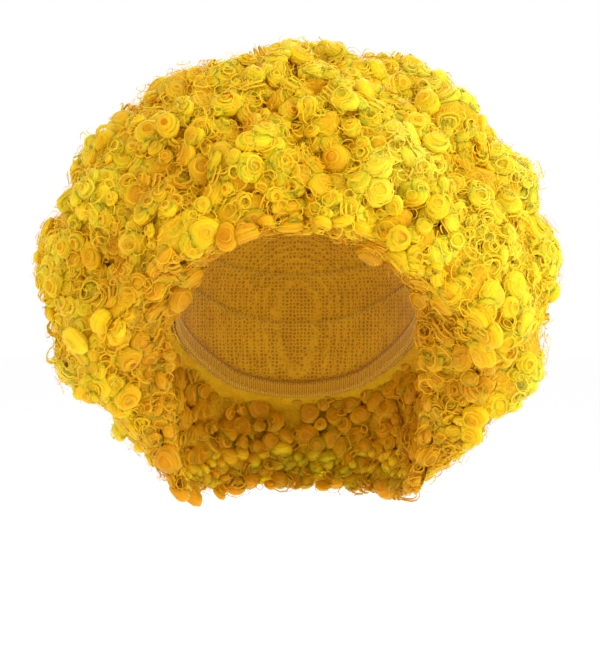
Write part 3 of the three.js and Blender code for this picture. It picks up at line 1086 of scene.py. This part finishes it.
# Where curls stand over a stretch of a row's exposed side: each on a slant of its own, its whole size clear
# of the head
def curlPlaces(row, spec, count, stretch, seed):
    azimuth, along = evenPlaces(row, count, *stretch, seed)
    draw = np.random.default_rng(seed + 500)
    point = exposedPoint(row, azimuth, along)
    normal = unit(exposedCross(row, azimuth, along, 5e-3))
    strayed = spec["stray"] * draw.uniform(0.2, 1, (count, 1)) * unit(draw.normal(size=normal.shape))
    lowest, highest = spec["proud"]
    proud = lowest + (highest - lowest) * draw.uniform(0, 1, count) ** spec["mostlyLow"]
    proud = proud + spec["patchy"] * waves(point, patchSize, 8)
    least, most = spec["radius"]
    radius = least + (most - least) * draw.uniform(0, 1, count) ** spec["mostlySmall"]
    centre = clearOfHead(point + normal * proud[:, None], headGap + radius * 0.8)
    inner = np.clip(along - 0.5, 0, 1.5) * (row["to"] == rim)
    # Painted light and shade: paler where the hair swells out, darker in its creases and round the face and neck
    shade = waves(point, hairForm["lumpSize"], 5) * lumpPaintedLight - innerPaintedShade * inner
    # painted light and painted shade in broad patches across the wig
    shade = shade + bells(point, hairForm["paintedLightAndShade"])
    axis = unit(normal + strayed)
    return {"centre": centre, "axis": axis, "normal": normal, "radius": radius, "shade": shade}


# Curls made at such places, with the painted light and shade of the hair there added to their tone
def coverRow(spec, places, seed):
    part = spec["form"](spec, places["centre"], places["axis"], places["radius"], seed)
    points = clearOfHead(part["points"], headGap)
    each = len(points) // len(places["centre"])
    return {
        **part,
        "points": points,
        "slot": spec["look"],
        "tone": part["tone"] + np.repeat(places["shade"], each),
        "outward": np.repeat(places["normal"], each, 0),
        "softness": spec["softness"],
    }


# Hairs wound over the knots: the knots' own places again, narrower ones higher, as on half an ellipsoid
def woundRound(knotPlaces, count, seed):
    draw = np.random.default_rng(seed)
    chosen = np.arange(count) % len(knotPlaces["centre"])
    places = {key: values[chosen] for key, values in knotPlaces.items()}
    share = draw.uniform(*woundSpec["share"], count)
    dome = woundSpec["height"] * np.sqrt(1 - np.minimum(share, 1) ** 2)
    rise = places["radius"] * (dome + 0.02 + draw.uniform(*woundSpec["rise"], count) * share**3)
    places["centre"] = places["centre"] + places["axis"] * rise[:, None]
    places["axis"] = unit(places["axis"] + woundSpec["stray"] * draw.normal(size=places["axis"].shape))
    places["radius"] = places["radius"] * share
    return coverRow(woundSpec, places, seed + 1)


# All that covers a stretch of a row: knots with hairs wound round them, open curls, corkscrews and frizz
def coveredStretch(row, counts, stretch, seed):
    knotPlaces = curlPlaces(row, knotSpec, counts["knots"], stretch, seed)
    parts = [coverRow(knotSpec, knotPlaces, seed + 10), woundRound(knotPlaces, counts["wound"], seed + 20)]
    others = [("curls", curlSpec), ("ringlets", ringletSpec), ("loops", loopSpec)]
    for number, (key, spec) in enumerate(others):
        places = curlPlaces(row, spec, counts[key], stretch, seed + 30 + number)
        parts.append(coverRow(spec, places, seed + 40 + number))
    return parts


# A piece of hair: dense hair where it has it, and the curls over it, which replaces the frame's node
def dressRow(row, name, parts):
    piece = pieceFrom(name, parts, [curlLook, massLook, knotLook, frizzLook])
    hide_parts(row["node"])
    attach(piece, "root")


# How many of each stand on a row, as shares of its knots
shares = {"wound": 4.3, "curls": 0.1, "ringlets": 0.07, "loops": 2.0}
for number, row in enumerate(rows):
    counts = {"knots": row["knots"], **{key: round(row["knots"] * share) for key, share in shares.items()}}
    cover = coveredStretch(row, counts, (0, 1), 1000 + 100 * number)
    dressRow(row, row["node"] + "_curls", [rowMass(row, 40 + number), *cover])

# The hanging row's underside, round the face and the neck, and its inner side against the neck
innerCounts = {"knots": 540, "wound": 1600, "curls": 80, "ringlets": 70, "loops": 800}
dressRow(rows[-1], "hair_face_edge_curls", coveredStretch(rows[-1], innerCounts, (1, 3), 2000))


# The net cap and the band in its rim

capForm = {
    "around": 144,
    "stops": 72,
    "netThickness": 1.2 * mm,
    "weftWidth": 3.2 * mm,
    "weftHeight": 0.7 * mm,
    "stitchLength": 3.4 * mm,
    "stitchWidth": 2.6 * mm,
    "threadWidth": 0.7 * mm,
}
bandForm = {
    "thickness": 1.6 * mm,
    "gap": 0.8 * mm,
    "around": 640,
    "stops": 5,
    "ribHeight": 0.3 * mm,
    "ribs": 160,
}
edgeThread = {
    "points": 720,
    "waves": 180,
    "swing": 0.1,  # to either side, as a share of the band's width
    "inset": 0.22,  # from the band's edges, also as a share
    "proud": 0.1 * mm,
    "width": 0.6 * mm,
}


# How far the cap's inside is raised over each weft seam: a rounded ridge across the seam
def weftRidge(azimuth, place):
    ridge = np.zeros_like(place)
    for seam in weftSeams:
        away = (place - seam) * arcToRim(azimuth) / (capForm["weftWidth"] / 2)
        ridge = np.maximum(ridge, np.exp(-(away**2)))
    return capForm["weftHeight"] * ridge


# The cap: its inside from the crown down, with the wefts' ridges, and its outside back up
def netCapPart():
    places = np.concatenate([np.linspace(0, 1, capForm["stops"])[1:], np.linspace(1, rim, 5)[1:]])
    azimuth = np.arange(capForm["around"]) / capForm["around"] * fullTurn
    az, pl = np.meshgrid(azimuth, places, indexing="ij")
    inside = onCap(az, pl, -weftRidge(az, pl))
    outside = onCap(az, pl, np.full_like(pl, capForm["netThickness"]))[:, ::-1]
    run = np.clip(pl, 0, 1) * arcToRim(az) + np.clip(pl - 1, 0, 1) * bandWidth
    across = az * headForm["breadth"] / 2 * np.sin(np.clip(pl, 0.05, 1) * halfTurn / 2)
    uv = np.stack([across, run], -1)
    poles = onCap(np.zeros(2), np.zeros(2), np.array([0, capForm["netThickness"]]))
    return ringPart(np.concatenate([inside, outside], 1), np.concatenate([uv, uv[:, ::-1]], 1), poles)


# A thread along a closed line on the cap: a square section at each point, out along the lift and up along the
# place
def threadPart(azimuth, place, lift, width, slot):
    section = (np.arange(4) + 0.5) / 4 * fullTurn
    middle = onCap(azimuth, place, lift)
    outward = unit(onCap(azimuth, place, lift + 1 * mm) - middle)
    upward = unit(onCap(azimuth, place - 0.01, lift) - middle)
    offset = outward[:, None] * np.cos(section)[:, None] + upward[:, None] * np.sin(section)[:, None]
    points = middle[:, None] + offset * width / 2
    run = np.cumsum(np.linalg.norm(np.diff(middle, axis=0, append=middle[:1]), axis=-1))
    uv = np.stack(np.broadcast_arrays(run[:, None], section * width / 2), -1)
    return {**ringPart(points, uv), "slot": slot}


# The zigzag stitches that hold a weft: the place swings to either side of the seam at each stitch
def zigzag(seam, lift):
    line = onCap(np.linspace(0, fullTurn, 90), np.full(90, seam), np.zeros(90))
    girth = np.linalg.norm(np.diff(line, axis=0), axis=-1)
    count = 2 * int(girth.sum() / capForm["stitchLength"])
    azimuth = np.arange(count) / count * fullTurn
    side = np.where(np.arange(count) % 2 == 0, 1, -1)
    place = seam + side * capForm["stitchWidth"] / 2 / arcToRim(azimuth)
    return threadPart(azimuth, place, np.full(count, lift), capForm["threadWidth"], 1)


# The elastic band: a shell inside the rim with ribs across it
def bandPart():
    form = bandForm
    azimuth = np.arange(form["around"]) / form["around"] * fullTurn
    places = np.linspace(bandTop, rim, form["stops"])
    az, pl = np.meshgrid(azimuth, places, indexing="ij")
    rib = form["ribHeight"] * (0.5 + 0.5 * np.cos(az * form["ribs"]))
    inside = onCap(az, pl, -form["gap"] - form["thickness"] + rib)
    outside = onCap(az, pl, np.full_like(pl, -form["gap"]))[:, ::-1]
    uv = np.stack([az * headForm["breadth"] / 2, (pl - bandTop) * bandWidth], -1)
    return ringPart(np.concatenate([inside, outside], 1), np.concatenate([uv, uv[:, ::-1]], 1))


# The thread along an edge of the band: the place follows a sine
def wavyThread(place):
    count = edgeThread["points"]
    azimuth = np.arange(count) / count * fullTurn
    lift = -bandForm["gap"] - bandForm["thickness"] - edgeThread["proud"]
    place = place + edgeThread["swing"] * np.sin(azimuth * edgeThread["waves"])
    return threadPart(azimuth, place, np.full(count, lift), edgeThread["width"], 1)


weftSeams = [row["to"] for row in rows[:6]]
seamLift = -capForm["weftHeight"] - 0.2 * mm
stitches = [zigzag(seam, seamLift) for seam in weftSeams]
cap = pieceFrom("net_cap_knit", [netCapPart(), *stitches], [netLook, threadLook])
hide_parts("net_cap")
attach(cap, "root")

bandEdges = [wavyThread(bandTop + edgeThread["inset"]), wavyThread(rim - edgeThread["inset"])]
band = pieceFrom("rim_band_elastic", [bandPart(), *bandEdges], [bandLook, threadLook])
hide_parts("rim_band")
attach(band, "root")
print("cap and band dressed")


# The camera, the floor and the light

view = {
    "imageHeight": 651,
    "pixelSize": 0.6258 * mm,  # at the middle of the head
    "distance": 1.6,
    "height": -0.1,
    "right": 1.9 * mm,
    "sensor": 36,
}
camera = bpy.data.objects.new("camera", bpy.data.cameras.new("camera"))
bpy.context.scene.collection.objects.link(camera)
bpy.context.scene.camera = camera
camera.location = (view["right"], -view["distance"], view["height"])
camera.rotation_euler = (halfTurn / 2, 0, 0)
camera.data.sensor_width = view["sensor"]
camera.data.lens = view["sensor"] * view["distance"] / (view["imageHeight"] * view["pixelSize"])

studio = {
    "floorDrop": 0.16,  # from the lowest curl down to the floor
    "floorSize": 40,
    "floorColour": "#fefefe",
    "world": "#ffffff",
    "worldStrength": 1.0,
    "lights": [
        # name, place, size, power, colour
        ("key", (1.5, -1.3, 0.8), 1.2, 26, "#f4fff2"),
        ("fill", (-1.4, -1.2, 0.3), 1.2, 4, "#ffc478"),
        ("rim", (0.5, 1.6, 1.2), 1.0, 15, "#ffeecb"),
    ],
}
floorMesh = bpy.data.meshes.new("floor")
half, level = studio["floorSize"] / 2, cadLow.z - studio["floorDrop"]
floorCorners = [(-half, -half, level), (half, -half, level), (half, half, level), (-half, half, level)]
floorMesh.from_pydata(floorCorners, [], [(0, 1, 2, 3)])
floor = bpy.data.objects.new("floor", floorMesh)
bpy.context.scene.collection.objects.link(floor)
floorLook, floorTree = newMaterial("paintedStudioFloor")
floorShader = addNode(floorTree, "ShaderNodeBsdfPrincipled", Base_Color=linear(studio["floorColour"]),
                      Roughness=0.9, Specular_IOR_Level=0.1)
addNode(floorTree, "ShaderNodeOutputMaterial", Surface=floorShader.outputs["BSDF"])
floorMesh.materials.append(floorLook)

world = bpy.data.worlds.new("studio")
world.use_nodes = True
bpy.context.scene.world = world
background = world.node_tree.nodes["Background"]
background.inputs["Color"].default_value = linear(studio["world"])
background.inputs["Strength"].default_value = studio["worldStrength"]
for name, place, size, power, colour in studio["lights"]:
    lamp = bpy.data.lights.new(name, "AREA")
    lamp.size, lamp.energy, lamp.color = size, power, linear(colour)[:3]
    light = bpy.data.objects.new(name, lamp)
    light.location = place
    toWig = np.array([0, 0, view["height"]]) - np.array(place)
    light.rotation_euler = mathutils.Vector(toWig).to_track_quat("-Z", "Y").to_euler()
    bpy.context.scene.collection.objects.link(light)
bpy.context.scene.view_settings.view_transform = "Standard"
print("studio set")
